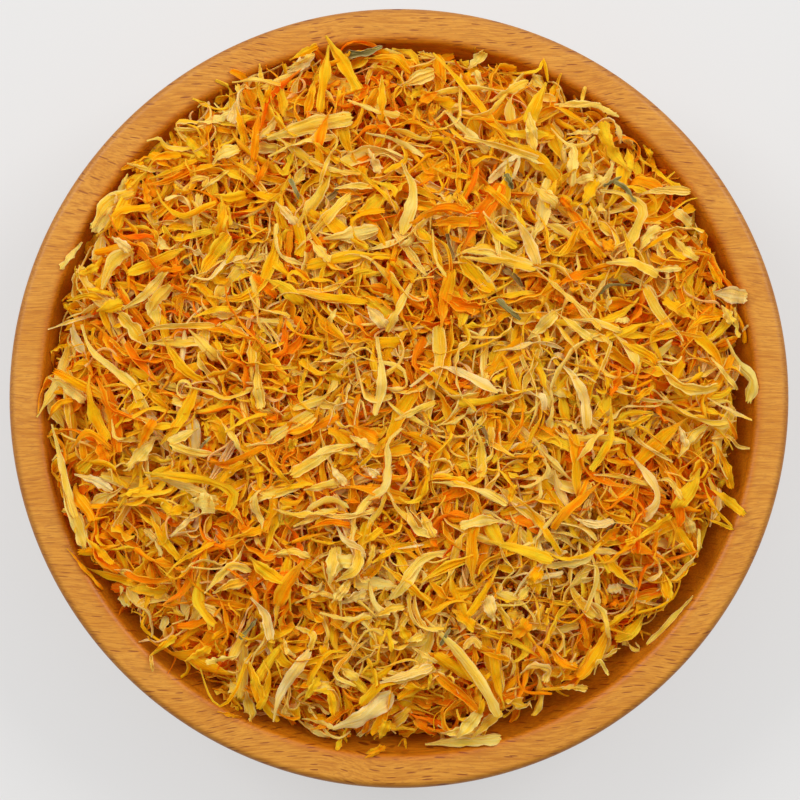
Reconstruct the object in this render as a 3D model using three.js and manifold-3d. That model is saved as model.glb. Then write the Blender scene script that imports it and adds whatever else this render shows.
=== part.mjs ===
// A round turned beech bowl, heaped with loose dried marigold petals.
// Millimetres, +Z up. The origin is the centre of the bowl's flat foot, which stands on z = 0.
// The bowl is one solid. The petals are fused to the packed core of the heap, as one solid.
import * as THREE from "three";
import { mergeVertices } from "three/addons/utils/BufferGeometryUtils.js";
import Module from "manifold-3d";

// Driving dimensions of the bowl.
const RIM_RADIUS = 100;
const RIM_WIDTH = 9;
const RIM_ROUNDING = 2;
const BOWL_HEIGHT = 50;
const FOOT_RADIUS = 50;
const FOOT_CHAMFER = 1.5;
const FLOOR_THICKNESS = 9;
const FLOOR_FLAT_RADIUS = 38;
const BOWL_SIDES = 72;
const WALL_STEPS = 5;
const ROUNDING_STEPS = 2;

// Driving dimensions of the heap.
const HEAP_RADIUS = 90;
const HEAP_EDGE_HEIGHT = 46;
const HEAP_CROWN_HEIGHT = 60;
const HEAP_SHOULDER = 2.4; // power of the crown's fall towards the edge
const LUMP_HEIGHT = 1; // of the uneven surface
const LUMP_FADE = 4; // power of the share at which the lumps die away to the edge
const PETAL_COVER = 3; // depth of the petals that stand out of the packed core
const EDGE_COVER = 2.5; // how far they reach past it at the edge
const CORE_GAP = 0.5; // between the heap and the bowl
const CORE_SIDES = 30;
const CORE_RINGS = 4;

// Driving dimensions of the petals, a little larger than life.
const PETAL_COUNT = 300;
const ROLLED_SHARE = 0.35; // of the petals have dried into a roll
const STRAP = { length: [24, 36], width: [6, 9], thickness: 0.8 };
const ROLL = { length: [20, 32], width: [2.4, 3.4], thickness: 1.8 };
const STATION_PLACES = [-0.5, -0.2, 0.18, 0.5]; // root, neck, belly and tip, along the length
const STATION_WIDTHS = [0, 0.72, 1, 0.5]; // of the petal's width
const MOST_BEND = 0.11; // sideways, of the length
const MOST_ROLL = 0.25; // radians that the root leans to one side
const MOST_TWIST = 0.4; // radians from the root to the tip

// How the petals lie on the core and over each other.
const ROOT_DEPTH = 1.5; // how far a petal's root is sunk into the core
const NECK_RISE = [0.9, 1.5]; // of the neck over the core
const ARCH = 0.6; // of the belly over the neck
const TIP_RISE = [0, 2]; // of the tip over the neck
const PARTS_PER_STRETCH = 4; // a petal is tested at this many points from one station to the next
const SUNK_POINTS = 2; // of them are too near the root to meet another petal
const CROSSING_REACH = 4; // petals whose middles pass this close cross each other
const CROSSING_CLEARANCE = 1.7; // from middle to middle, where one lies over another
const MOST_LIFT = 5; // of a petal that lies over others
const TRIES_PER_PETAL = 60;
const ORDER_STRIDE = 89; // the petals are laid in this stride, so that no side of the heap is laid last
const SEED = 41;

const BEECH = new THREE.MeshStandardMaterial({ color: 0xd18f45, roughness: 0.5, metalness: 0 });
const DRIED_PETAL = new THREE.MeshStandardMaterial({
  color: 0xe3a526,
  roughness: 0.75,
  metalness: 0,
});

const wasm = await Module();
wasm.setup();

// Seeded random numbers from 0 to 1, the same in every run.
function seededRandom(seed) {
  let state = seed;
  return () => {
    state = (state + 0x6d2b79f5) | 0;
    let mixed = Math.imul(state ^ (state >>> 15), 1 | state);
    mixed = (mixed + Math.imul(mixed ^ (mixed >>> 7), 61 | mixed)) ^ mixed;
    return ((mixed ^ (mixed >>> 14)) >>> 0) / 4294967296;
  };
}

const random = seededRandom(SEED);
const between = (low, high) => low + (high - low) * random();

// A closed three.js geometry as a solid that can be joined.
function solidOf(geometry) {
  const bare = geometry.clone();
  bare.deleteAttribute("normal");
  bare.deleteAttribute("uv");
  const merged = mergeVertices(bare, 1e-4);
  return new wasm.Manifold(
    new wasm.Mesh({
      numProp: 3,
      vertProperties: merged.attributes.position.array,
      triVerts: new Uint32Array(merged.index.array),
    }),
  );
}

// A joined solid as a three.js geometry.
function geometryOf(solid) {
  const mesh = solid.getMesh();
  const points = new Float32Array(mesh.numVert * 3);
  for (let i = 0; i < mesh.numVert; i++) {
    const start = i * mesh.numProp;
    points.set(mesh.vertProperties.subarray(start, start + 3), i * 3);
  }
  const geometry = new THREE.BufferGeometry();
  geometry.setAttribute("position", new THREE.BufferAttribute(points, 3));
  geometry.setIndex(new THREE.BufferAttribute(mesh.triVerts, 1));
  geometry.computeVertexNormals();
  return geometry;
}

// A profile of (radius, height) points turned round the Z axis.
function turned(profile, sides) {
  const lathe = new THREE.LatheGeometry(profile, sides);
  lathe.rotateX(Math.PI / 2);
  return lathe;
}

// ---------------------------------------------------------------- the bowl
// One piece of beech, turned on a lathe: flat foot, swelling side, and a flat rim with rounded edges.

const LIP_RADIUS = RIM_RADIUS - RIM_WIDTH;
const LIP_HEIGHT = BOWL_HEIGHT - RIM_ROUNDING;

// The outside, from the foot up to the upright part of the rim.
const outerWall = new THREE.CubicBezierCurve(
  new THREE.Vector2(FOOT_RADIUS + FOOT_CHAMFER, FOOT_CHAMFER),
  new THREE.Vector2(FOOT_RADIUS + 24, 5),
  new THREE.Vector2(RIM_RADIUS - 2, BOWL_HEIGHT * 0.42),
  new THREE.Vector2(RIM_RADIUS, BOWL_HEIGHT * 0.84),
);

// The hollow, from the lip down to the flat of the floor.
const innerWall = new THREE.CubicBezierCurve(
  new THREE.Vector2(LIP_RADIUS, LIP_HEIGHT),
  new THREE.Vector2(LIP_RADIUS - 4, LIP_HEIGHT - 10),
  new THREE.Vector2(LIP_RADIUS - 19, FLOOR_THICKNESS + 3),
  new THREE.Vector2(FLOOR_FLAT_RADIUS, FLOOR_THICKNESS),
);

// A quarter round of the rim, from one angle to the next, about a centre at that radius.
function rimRounding(radius, from, to) {
  const arc = new THREE.EllipseCurve(radius, LIP_HEIGHT, RIM_ROUNDING, RIM_ROUNDING, from, to);
  return arc.getPoints(ROUNDING_STEPS);
}

function makeBowl() {
  const profile = [
    new THREE.Vector2(0, 0),
    new THREE.Vector2(FOOT_RADIUS, 0),
    ...outerWall.getPoints(WALL_STEPS),
    ...rimRounding(RIM_RADIUS - RIM_ROUNDING, 0, Math.PI / 2),
    ...rimRounding(LIP_RADIUS + RIM_ROUNDING, Math.PI / 2, Math.PI),
    ...innerWall.getPoints(WALL_STEPS).slice(1),
    new THREE.Vector2(0, FLOOR_THICKNESS),
  ];
  const bowl = new THREE.Mesh(turned(profile, BOWL_SIDES), BEECH);
  bowl.name = "bowl";
  return bowl;
}

// How far from the axis something may reach at a height, for the hollow's wall or the rim's top.
const wallPoints = innerWall.getPoints(WALL_STEPS * 12);
function roomAt(height) {
  if (height > BOWL_HEIGHT) {
    return RIM_RADIUS;
  }
  if (height >= LIP_HEIGHT) {
    return LIP_RADIUS;
  }
  const above = wallPoints.findLastIndex((point) => point.y >= height);
  const upper = wallPoints[above];
  const lower = wallPoints[above + 1] ?? upper;
  const share = upper === lower ? 0 : (upper.y - height) / (upper.y - lower.y);
  return upper.x + (lower.x - upper.x) * share;
}

// ---------------------------------------------------------------- the heap
// Thousands of loose dried petals. The packed middle is one core, and the petals of the
// surface stand out of it.

function lumps(x, y) {
  const broad = Math.sin(x / 15 + 1.1) * Math.sin(y / 18 - 0.6);
  const fine = Math.sin(x / 8 - y / 9 + 0.4) * 0.45;
  return LUMP_HEIGHT * (broad + fine);
}

// The top of the packed core under a point.
function coreTop(x, y) {
  const share = Math.min(1, Math.hypot(x, y) / HEAP_RADIUS);
  const fall = (HEAP_CROWN_HEIGHT - HEAP_EDGE_HEIGHT) * share ** HEAP_SHOULDER;
  return HEAP_CROWN_HEIGHT - fall - PETAL_COVER + lumps(x, y) * (1 - share ** LUMP_FADE);
}

// The core fills the hollow, clear of the wood, up to a low upright edge and the uneven crown.
const CORE_RADIUS = HEAP_RADIUS - EDGE_COVER;
function makeCore() {
  const under = [new THREE.Vector2(0, FLOOR_THICKNESS + CORE_GAP)];
  for (const point of innerWall.getPoints(WALL_STEPS).reverse()) {
    if (point.x - CORE_GAP < CORE_RADIUS) {
      under.push(new THREE.Vector2(point.x - CORE_GAP, point.y + CORE_GAP));
    }
  }
  const crown = [];
  for (let ring = CORE_RINGS; ring >= 0; ring--) {
    crown.push(new THREE.Vector2((CORE_RADIUS * ring) / CORE_RINGS, HEAP_EDGE_HEIGHT));
  }
  const profile = [...under, ...crown];
  const geometry = turned(profile, CORE_SIDES);
  const position = geometry.attributes.position;
  for (let i = 0; i < position.count; i++) {
    if (i % profile.length >= under.length) {
      position.setZ(i, coreTop(position.getX(i), position.getY(i)));
    }
  }
  return solidOf(geometry);
}

// How one petal lies: its stations from the sunk root to the blunt tip.
function layPetal(x, y, form) {
  const length = between(...form.length);
  const width = between(...form.width);
  const heading = between(0, 2 * Math.PI);
  const bend = between(-MOST_BEND, MOST_BEND) * length;
  const neck = between(...NECK_RISE);
  const tip = neck + between(...TIP_RISE);
  const roll = between(-MOST_ROLL, MOST_ROLL);
  const twist = between(-MOST_TWIST, MOST_TWIST);
  const rises = [-ROOT_DEPTH, neck, neck + ARCH, tip];
  const stations = STATION_PLACES.map((place, i) => {
    const sideways = bend * (1 - 4 * place * place);
    const px = x + Math.cos(heading) * place * length - Math.sin(heading) * sideways;
    const py = y + Math.sin(heading) * place * length + Math.cos(heading) * sideways;
    const centre = new THREE.Vector3(px, py, coreTop(px, py) + rises[i]);
    return { centre, width: width * STATION_WIDTHS[i], roll: roll + twist * (place + 0.5) };
  });
  return { stations, form };
}

// A station's corners: four round a flat strap, or three round a roll.
function corners({ stations, form }, i) {
  const { centre, width, roll } = stations[i];
  const before = stations[Math.max(0, i - 1)].centre;
  const after = stations[Math.min(stations.length - 1, i + 1)].centre;
  const along = after.clone().sub(before).normalize();
  const side = new THREE.Vector3(0, 0, 1).cross(along).normalize();
  side.applyAxisAngle(along, roll);
  const face = along.clone().cross(side);
  const at = (across, up) => centre.clone().addScaledVector(side, across).addScaledVector(face, up);
  const half = form.thickness / 2;
  return form === STRAP
    ? [at(width / 2, half), at(-width / 2, half), at(-width / 2, -half), at(width / 2, -half)]
    : [at(0, half), at(-width / 2, -half), at(width / 2, -half)];
}

// A petal as a closed body: a pointed root, bent faces split alike above and below, and a flat cut tip.
function petalGeometry(petal) {
  const rings = [1, 2, 3].map((i) => corners(petal, i));
  const sides = rings[0].length;
  const last = rings.length - 1;
  const points = [petal.stations[0].centre, ...rings.flat()];
  const index = [];
  const at = (ring, corner) => 1 + ring * sides + (corner % sides);
  for (let corner = 0; corner < sides; corner++) {
    index.push(0, at(0, corner + 1), at(0, corner));
  }
  for (let ring = 0; ring < last; ring++) {
    for (let corner = 0; corner < sides; corner++) {
      const a = at(ring, corner);
      const b = at(ring, corner + 1);
      const c = at(ring + 1, corner + 1);
      const d = at(ring + 1, corner);
      const strapUnderside = sides === 4 && corner === 2;
      index.push(...(strapUnderside ? [a, b, d, b, c, d] : [a, b, c, a, c, d]));
    }
  }
  for (let corner = 1; corner + 1 < sides; corner++) {
    index.push(at(last, 0), at(last, corner), at(last, corner + 1));
  }
  const geometry = new THREE.BufferGeometry();
  geometry.setAttribute(
    "position",
    new THREE.Float32BufferAttribute(points.flatMap((point) => point.toArray()), 3),
  );
  geometry.setIndex(index);
  return geometry;
}

// True if no station of the petal comes near the bowl.
function clearOfBowl({ stations, form }) {
  return stations.every(({ centre, width }) => {
    const reach = Math.hypot(centre.x, centre.y) + width / 2;
    return reach < roomAt(centre.z - form.thickness - CORE_GAP) - CORE_GAP;
  });
}

// True if the root is well inside the core.
function rooted({ stations }) {
  const root = stations[0].centre;
  return Math.hypot(root.x, root.y) < CORE_RADIUS - ROOT_DEPTH;
}

// Points along a petal's middle, beyond its root.
function pointsAlong({ stations }) {
  const points = [];
  for (let i = 0; i + 1 < stations.length; i++) {
    for (let part = 1; part <= PARTS_PER_STRETCH; part++) {
      const share = part / PARTS_PER_STRETCH;
      points.push(stations[i].centre.clone().lerp(stations[i + 1].centre, share));
    }
  }
  return points;
}

// How far a petal has to be lifted to lie over the earlier ones that it crosses.
function liftOver(points, placed) {
  const tip = points.at(-1);
  let lift = 0;
  for (const others of placed) {
    if (others.at(-1).distanceTo(tip) > 2 * STRAP.length[1]) {
      continue;
    }
    for (const below of others) {
      for (const point of points.slice(SUNK_POINTS)) {
        if (Math.hypot(below.x - point.x, below.y - point.y) < CROSSING_REACH) {
          lift = Math.max(lift, below.z + CROSSING_CLEARANCE - point.z);
        }
      }
    }
  }
  return lift;
}

// Of a seeded number of tries at a place, the petal that needs the least lift. It may find none.
function bestPetal(x, y, form, placed) {
  let best = null;
  let leastLift = MOST_LIFT;
  for (let attempt = 0; attempt < TRIES_PER_PETAL; attempt++) {
    const petal = layPetal(x, y, form);
    const lift = liftOver(pointsAlong(petal), placed);
    if (rooted(petal) && clearOfBowl(petal) && lift < leastLift) {
      best = petal;
      leastLift = lift;
    }
  }
  best?.stations.slice(1).forEach(({ centre }) => {
    centre.z += leastLift;
  });
  return best;
}

// The petals are spread evenly over the heap on a sunflower spiral.
function makeHeap() {
  const goldenAngle = Math.PI * (3 - Math.sqrt(5));
  const placed = [];
  const solids = [makeCore()];
  for (let turn = 0; turn < PETAL_COUNT; turn++) {
    const i = (turn * ORDER_STRIDE) % PETAL_COUNT;
    const form = random() < ROLLED_SHARE ? ROLL : STRAP;
    const distance = HEAP_RADIUS * Math.sqrt((i + 0.5) / PETAL_COUNT);
    const x = distance * Math.cos(i * goldenAngle);
    const y = distance * Math.sin(i * goldenAngle);
    const petal = bestPetal(x, y, form, placed);
    if (petal) {
      placed.push(pointsAlong(petal));
      solids.push(solidOf(petalGeometry(petal)));
    }
  }
  const heap = new THREE.Mesh(geometryOf(wasm.Manifold.union(solids)), DRIED_PETAL);
  heap.name = "petal_heap";
  return heap;
}

const group = new THREE.Group();
group.add(makeBowl());
group.add(makeHeap());

export default group;
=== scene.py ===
import math

import bpy
import numpy as np
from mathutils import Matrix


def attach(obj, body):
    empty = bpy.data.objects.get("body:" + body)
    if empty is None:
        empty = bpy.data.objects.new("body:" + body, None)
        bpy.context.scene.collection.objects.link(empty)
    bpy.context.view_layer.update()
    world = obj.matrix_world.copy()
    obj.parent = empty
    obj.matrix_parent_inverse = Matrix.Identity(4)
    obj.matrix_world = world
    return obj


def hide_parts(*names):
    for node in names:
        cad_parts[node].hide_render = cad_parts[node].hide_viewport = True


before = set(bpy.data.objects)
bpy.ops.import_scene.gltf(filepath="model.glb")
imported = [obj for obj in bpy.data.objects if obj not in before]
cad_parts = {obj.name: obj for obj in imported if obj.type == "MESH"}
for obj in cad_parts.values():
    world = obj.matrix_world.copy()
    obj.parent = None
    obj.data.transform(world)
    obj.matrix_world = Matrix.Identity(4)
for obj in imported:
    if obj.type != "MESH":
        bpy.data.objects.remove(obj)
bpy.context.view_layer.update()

# ------------------------------------------------------------------ the camera
# It looks straight down into the bowl, as the photograph does. The rim is a circle there, so one real size,
# the rim's radius, gives the size of a pixel. Sizes in this file are in millimetres, and MM turns them to
# metres.

MM = 0.001
PHOTO_SIDE_PX = 800
RIM_CENTRE_PX = (399, 398.5)
RIM_RADIUS_PX = 389
RIM_RADIUS = 100
RIM_HEIGHT = 50
PIXEL = RIM_RADIUS / RIM_RADIUS_PX
CAMERA_ABOVE_RIM = 700
OUTLINE_BELOW_RIM = 2.8  # the outline in the photograph is the widest circle, a little below the rim
SENSOR_WIDTH = 36
NEAREST_SEEN = 10

camera_data = bpy.data.cameras.new("camera")
camera_data.sensor_width = SENSOR_WIDTH
camera_data.lens = SENSOR_WIDTH * (CAMERA_ABOVE_RIM + OUTLINE_BELOW_RIM) / (PHOTO_SIDE_PX * PIXEL)
camera_data.clip_start = NEAREST_SEEN * MM
camera = bpy.data.objects.new("camera", camera_data)
bpy.context.scene.collection.objects.link(camera)
bpy.context.scene.camera = camera
camera.location = (
    (PHOTO_SIDE_PX / 2 - RIM_CENTRE_PX[0]) * PIXEL * MM,
    (RIM_CENTRE_PX[1] - PHOTO_SIDE_PX / 2) * PIXEL * MM,
    (RIM_HEIGHT + CAMERA_ABOVE_RIM) * MM,
)

# ------------------------------------------------------------------ floor and light
# A plain pale table top. Two large soft boxes stand beyond the top of the picture, one to each side, and the
# white room fills in the shadows.


def linear(code):
    """An sRGB hex colour as the linear colour that a shader takes."""
    channels = [int(code[i : i + 2], 16) / 255 for i in (1, 3, 5)]
    return [c / 12.92 if c <= 0.04045 else ((c + 0.055) / 1.055) ** 2.4 for c in channels] + [1]


def node(material, kind, settings=(), **links):
    """Adds a node. Settings are its own options. Links are its inputs: a value, a socket, or another node,
    which gives the first of its outputs that is in use. An input without a name of its own goes by its
    number, as in i0."""
    made = material.node_tree.nodes.new("ShaderNode" + kind)
    for name, value in dict(settings).items():
        setattr(made, name, value)
    for name, value in links.items():
        key = int(name[1:]) if name[0] == "i" and name[1:].isdigit() else name.replace("_", " ")
        if isinstance(value, bpy.types.Node):
            value = next(socket for socket in value.outputs if socket.enabled)
        if isinstance(value, bpy.types.NodeSocket):
            material.node_tree.links.new(value, made.inputs[key])
        else:
            made.inputs[key].default_value = value
    return made


def new_material(name):
    """An empty material with nodes."""
    material = bpy.data.materials.new(name)
    material.use_nodes = True
    material.node_tree.nodes.clear()
    return material


SOFT = {"interpolation_type": "SMOOTHSTEP"}  # of a Map Range node: it starts and ends softly
FLOOR_SIDE = 6000
FLOOR_PAINTED_GLOW = 0.555
# Between these radii the painted glow fades away: a painted contact shadow under the bowl.
PAINTED_SHADOW_UNDER = (48, 100)  # radii between which the glow fades away under what stands there

# Painted board. It is matt white, and a painted glow, as though it were lit a little from below, softens its
# shadows. Under the bowl the glow fades away, which paints a contact shadow there.
painted_board = new_material("white_board_painted_glow")
from_foot = node(
    painted_board, "VectorMath", {"operation": "LENGTH"}, i0=node(painted_board, "TexCoord").outputs["Object"]
).outputs["Value"]
# The board's painted glow, which fades to a painted contact shadow under the bowl.
painted_glow_and_shadow = node(
    painted_board,
    "MapRange",
    SOFT,
    Value=from_foot,
    From_Min=PAINTED_SHADOW_UNDER[0] * MM,
    From_Max=PAINTED_SHADOW_UNDER[1] * MM,
    To_Max=FLOOR_PAINTED_GLOW,
)
board = node(
    painted_board,
    "BsdfPrincipled",
    Base_Color=linear("#8C8A89"),
    Roughness=0.9,
    Emission_Color=linear("#F0F1F1"),
    Emission_Strength=painted_glow_and_shadow,
)
node(painted_board, "OutputMaterial", Surface=board)

half_side = FLOOR_SIDE / 2 * MM
floor_corners = [(x * half_side, y * half_side, 0) for x, y in ((-1, -1), (1, -1), (1, 1), (-1, 1))]
floor_mesh = bpy.data.meshes.new("floor")
floor_mesh.from_pydata(floor_corners, [], [(0, 1, 2, 3)])
floor_mesh.materials.append(painted_board)
floor = bpy.data.objects.new("floor", floor_mesh)
bpy.context.scene.collection.objects.link(floor)

SOFT_BOX_SIDE = 800
SOFT_BOX_PLACES = {"soft_box_left": (-1200, 820, 1580), "soft_box_right": (1200, 820, 1580)}
SOFT_BOX_WATTS = 16.6

for name, lamp_place in SOFT_BOX_PLACES.items():
    lamp_data = bpy.data.lights.new(name, "AREA")
    lamp_data.size = SOFT_BOX_SIDE * MM
    lamp_data.energy = SOFT_BOX_WATTS
    lamp = bpy.data.objects.new(name, lamp_data)
    bpy.context.scene.collection.objects.link(lamp)
    lamp.location = [c * MM for c in lamp_place]
    lamp.rotation_euler = lamp.location.to_track_quat("Z", "Y").to_euler()

ROOM_FROM = (0.12, 0.74, 1.3)  # brightness at the bottom side of the picture, overhead, and at the top side
room = bpy.data.worlds.new("room")
room.use_nodes = True
to_top = node(room, "SeparateXYZ", Vector=node(room, "TexCoord").outputs["Generated"]).outputs["Y"]
bright = node(room, "ValToRGB", Fac=node(room, "MapRange", Value=to_top, From_Min=-1))
bright.color_ramp.elements.new(0.5)
for stop, strength in zip(bright.color_ramp.elements, ROOM_FROM):
    stop.color = (strength, strength, strength, 1)
backdrop = room.node_tree.nodes["Background"]
room.node_tree.links.new(bright.outputs["Color"], backdrop.inputs["Color"])
bpy.context.scene.world = room
bpy.context.scene.view_settings.view_transform = "Standard"
bpy.context.scene.cycles.diffuse_bounces = 12  # light goes from petal to petal many times before it comes out
bpy.context.scene.cycles.max_bounces = 20

# ------------------------------------------------------------------ the bowl
# One piece of steamed beech, turned on a lathe and oiled: flat foot, swelling side, flat rim with rounded
# edges, rounded hollow. The profile is the solid model's, with more steps.

RIM_WIDTH = 9
RIM_ROUNDING = 2
FOOT_RADIUS = 50
FOOT_CHAMFER = 1.5
FLOOR_THICKNESS = 9
FLOOR_FLAT_RADIUS = 38
LIP_RADIUS = RIM_RADIUS - RIM_WIDTH
LIP_HEIGHT = RIM_HEIGHT - RIM_ROUNDING
UPRIGHT_FROM = 0.84  # of the height: from there to the rounding the outside stands upright
BOWL_SIDES = 320
OUTER_STEPS = 40
INNER_STEPS = 48
SHARP_EDGE = 35  # degrees between two faces, from which their edge shows


def bezier(points, steps):
    """Points along a cubic Bezier curve."""
    t = np.linspace(0, 1, steps + 1)[:, None]
    a, b, c, d = np.array(points, float)
    return (1 - t) ** 3 * a + 3 * (1 - t) ** 2 * t * b + 3 * (1 - t) * t**2 * c + t**3 * d


def quarter(radius, height, size, start, steps=8):
    """Points of a quarter circle about (radius, height)."""
    turn = np.radians(start + np.linspace(0, 90, steps + 1))
    return np.column_stack([radius + size * np.cos(turn), height + size * np.sin(turn)])


def turned(name, profile, sides, material):
    """A profile of (radius, height) turned round the upright axis, whose first and last points lie on it."""
    angles = np.arange(sides) * 2 * math.pi / sides
    ring = np.array(profile[1:-1])
    x = np.outer(ring[:, 0], np.cos(angles))
    y = np.outer(ring[:, 0], np.sin(angles))
    z = np.repeat(ring[:, 1:], sides, axis=1)
    points = np.stack([x, y, z], axis=2).reshape(-1, 3)
    points = np.vstack([points, [0, 0, profile[0][1]], [0, 0, profile[-1][1]]]) * MM
    faces = []
    for level in range(len(ring) - 1):
        for side in range(sides):
            after = (side + 1) % sides
            low, high = level * sides, (level + 1) * sides
            faces.append((low + side, low + after, high + after, high + side))
    last = (len(ring) - 1) * sides
    faces += [((s + 1) % sides, s, len(points) - 2) for s in range(sides)]
    faces += [(last + s, last + (s + 1) % sides, len(points) - 1) for s in range(sides)]
    mesh = bpy.data.meshes.new(name)
    mesh.from_pydata(points.tolist(), [], faces)
    mesh.materials.append(material)
    mesh.shade_smooth()
    mesh.set_sharp_from_angle(angle=math.radians(SHARP_EDGE))
    made = bpy.data.objects.new(name, mesh)
    bpy.context.scene.collection.objects.link(made)
    return made


# The inner points of each curve are where its swell is pulled to.
outer_wall = bezier(
    [
        (FOOT_RADIUS + FOOT_CHAMFER, FOOT_CHAMFER),
        (FOOT_RADIUS + 24, 5),
        (RIM_RADIUS - 2, RIM_HEIGHT * 0.42),
        (RIM_RADIUS, RIM_HEIGHT * UPRIGHT_FROM),
    ],
    OUTER_STEPS,
)
inner_wall = bezier(
    [
        (LIP_RADIUS, LIP_HEIGHT),
        (LIP_RADIUS - 4, LIP_HEIGHT - 10),
        (LIP_RADIUS - 19, FLOOR_THICKNESS + 3),
        (FLOOR_FLAT_RADIUS, FLOOR_THICKNESS),
    ],
    INNER_STEPS,
)
bowl_profile = [
    (0, 0),
    (FOOT_RADIUS, 0),
    *outer_wall,
    *quarter(RIM_RADIUS - RIM_ROUNDING, LIP_HEIGHT, RIM_ROUNDING, 0),
    *quarter(LIP_RADIUS + RIM_ROUNDING, LIP_HEIGHT, RIM_ROUNDING, 90),
    *inner_wall[1:],
    (0, FLOOR_THICKNESS),
]

# Steamed beech, turned, sanded and oiled. To the eye it is warm orange-brown and satin, with fine fibre and
# short dark ray flecks along the grain, which runs to the right in the photograph.
# Shade is painted into this wood's colour: in the hollow, and on the outer rounding of the rim.
BANDS = (140, 9, 14)  # of early and late wood: length along the grain, width across it, and depth
FIBRES = (7, 0.42, 0.6)  # real ones are finer, and these are as coarse as they need to be to show
PORES = (1.5, 0.28, 0.4)  # likewise
RAY_FLECK = (1.6, 0.17, 2.5)  # half of its length, thickness and depth
RAY_SPACING = (4.2, 1.3, 6)
RAY_SHARE = 0.75  # of the places hold a ray
END_ON = (15, 70)  # from the board's middle line: the rays there are cut end on, and show less
GRAIN_WANDER = 17.6  # between the farthest that the grain could stray to either side
WANDER_LENGTH = 45  # along which it does
HOLLOW_SHADE_EDGE = (0.6, 3)  # from the lip: as far as there the hollow is painted darker and more orange, as painted shade and painted light thrown back by the petals
PAINTED_SHADE_FROM = (2.2, 0.5)  # from the outline: from there on the wood is painted darker, as painted shade on the rim's outer rounding
MIXED = {"data_type": "RGBA"}  # of a Mix node: its second colour over its first
MULTIPLIED = {"data_type": "RGBA", "blend_type": "MULTIPLY"}

beech = new_material("oiled_beech")
place = node(beech, "TexCoord").outputs["Object"]
millimetres = node(beech, "VectorMath", {"operation": "SCALE"}, i0=place, Scale=1 / MM)
slow = node(beech, "TexNoise", Vector=millimetres, Scale=1 / WANDER_LENGTH, Detail=1)
stray = node(beech, "Math", {"operation": "MULTIPLY"}, i0=slow, i1=GRAIN_WANDER)
sideways = node(beech, "CombineXYZ", Y=stray, Z=stray)
wood = node(beech, "VectorMath", {"operation": "ADD"}, i0=millimetres, i1=sideways)


def stretched(material, vector, size, kind="TexNoise", **inputs):
    """A pattern whose features have that size in millimetres: lengthways, across, and in depth."""
    shrunk = node(material, "VectorMath", {"operation": "MULTIPLY"}, i0=vector, i1=[1 / s for s in size])
    return node(material, kind, Vector=shrunk, Scale=1, **inputs)


banded = stretched(beech, wood, BANDS, Detail=2)
banded = node(beech, "MapRange", SOFT, Value=banded, From_Min=0.3, From_Max=0.7)
ground = node(beech, "Mix", MIXED, i0=banded, i6=linear("#C98524"), i7=linear("#D19030"))
fibre = stretched(beech, wood, FIBRES, Detail=3)
late = node(beech, "MapRange", SOFT, Value=fibre, From_Min=0.3, From_Max=0.66)
darker = node(beech, "Mix", MULTIPLIED, i0=1.0, i6=ground, i7=linear("#E2D2BC"))
ground = node(beech, "Mix", MIXED, i0=late, i6=darker, i7=ground)
porous = stretched(beech, wood, PORES, Detail=2)
porous = node(beech, "MapRange", SOFT, Value=porous, From_Min=0.55, From_Max=0.68, To_Max=0.5)
ground = node(beech, "Mix", MIXED, i0=porous, i6=ground, i7=linear("#A8682A"))

ray_cell = stretched(beech, wood, RAY_SPACING, "TexVoronoi")
in_cells = node(beech, "VectorMath", {"operation": "MULTIPLY"}, i0=wood, i1=[1 / s for s in RAY_SPACING])
offset = node(beech, "VectorMath", {"operation": "SUBTRACT"}, i0=in_cells, i1=ray_cell.outputs["Position"])
in_flecks = [spacing / half for spacing, half in zip(RAY_SPACING, RAY_FLECK)]
offset = node(beech, "VectorMath", {"operation": "MULTIPLY"}, i0=offset, i1=in_flecks)
reach = node(beech, "VectorMath", {"operation": "LENGTH"}, i0=offset).outputs["Value"]
inside = node(beech, "MapRange", SOFT, Value=reach, From_Min=0.7, From_Max=1.15, To_Min=1, To_Max=0)
luck = node(beech, "SeparateXYZ", Vector=ray_cell.outputs["Color"]).outputs["X"]
no_ray = 1 - RAY_SHARE
chosen = node(beech, "MapRange", SOFT, Value=luck, From_Min=no_ray - 0.05, From_Max=no_ray + 0.3)
fleck = node(beech, "Math", {"operation": "MULTIPLY"}, i0=inside, i1=chosen)
spot = node(beech, "SeparateXYZ", Vector=millimetres).outputs
from_middle = node(beech, "Math", {"operation": "ABSOLUTE"}, i0=spot["Y"])
clear = node(
    beech, "MapRange", SOFT, Value=from_middle, From_Min=END_ON[0], From_Max=END_ON[1], To_Min=0.3
)
fleck = node(beech, "Math", {"operation": "MULTIPLY"}, i0=fleck, i1=clear)
surface = node(beech, "Mix", MIXED, i0=fleck, i6=ground, i7=linear("#8C4A12"))

flat_spot = node(beech, "CombineXYZ", X=spot["X"], Y=spot["Y"])
from_axis = node(beech, "VectorMath", {"operation": "LENGTH"}, i0=flat_spot).outputs["Value"]
# Painted shade in the hollow: inside the lip, on faces that look up, the colour is deepened to a darker
# orange.
within = node(
    beech,
    "MapRange",
    SOFT,
    Value=from_axis,
    From_Min=LIP_RADIUS + HOLLOW_SHADE_EDGE[0],
    From_Max=LIP_RADIUS + HOLLOW_SHADE_EDGE[1],
    To_Min=1,
    To_Max=0,
)
facing = node(beech, "SeparateXYZ", Vector=node(beech, "NewGeometry").outputs["Normal"]).outputs["Z"]
upward = node(beech, "MapRange", SOFT, Value=facing, From_Min=-0.1, From_Max=0.02)
hollow = node(beech, "Math", {"operation": "MULTIPLY"}, i0=within, i1=upward)
hollow_painted_shade = node(beech, "Mix", MULTIPLIED, i0=1.0, i6=surface, i7=linear("#F0D45C"))
surface = node(beech, "Mix", MIXED, i0=hollow, i6=surface, i7=hollow_painted_shade)
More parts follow.
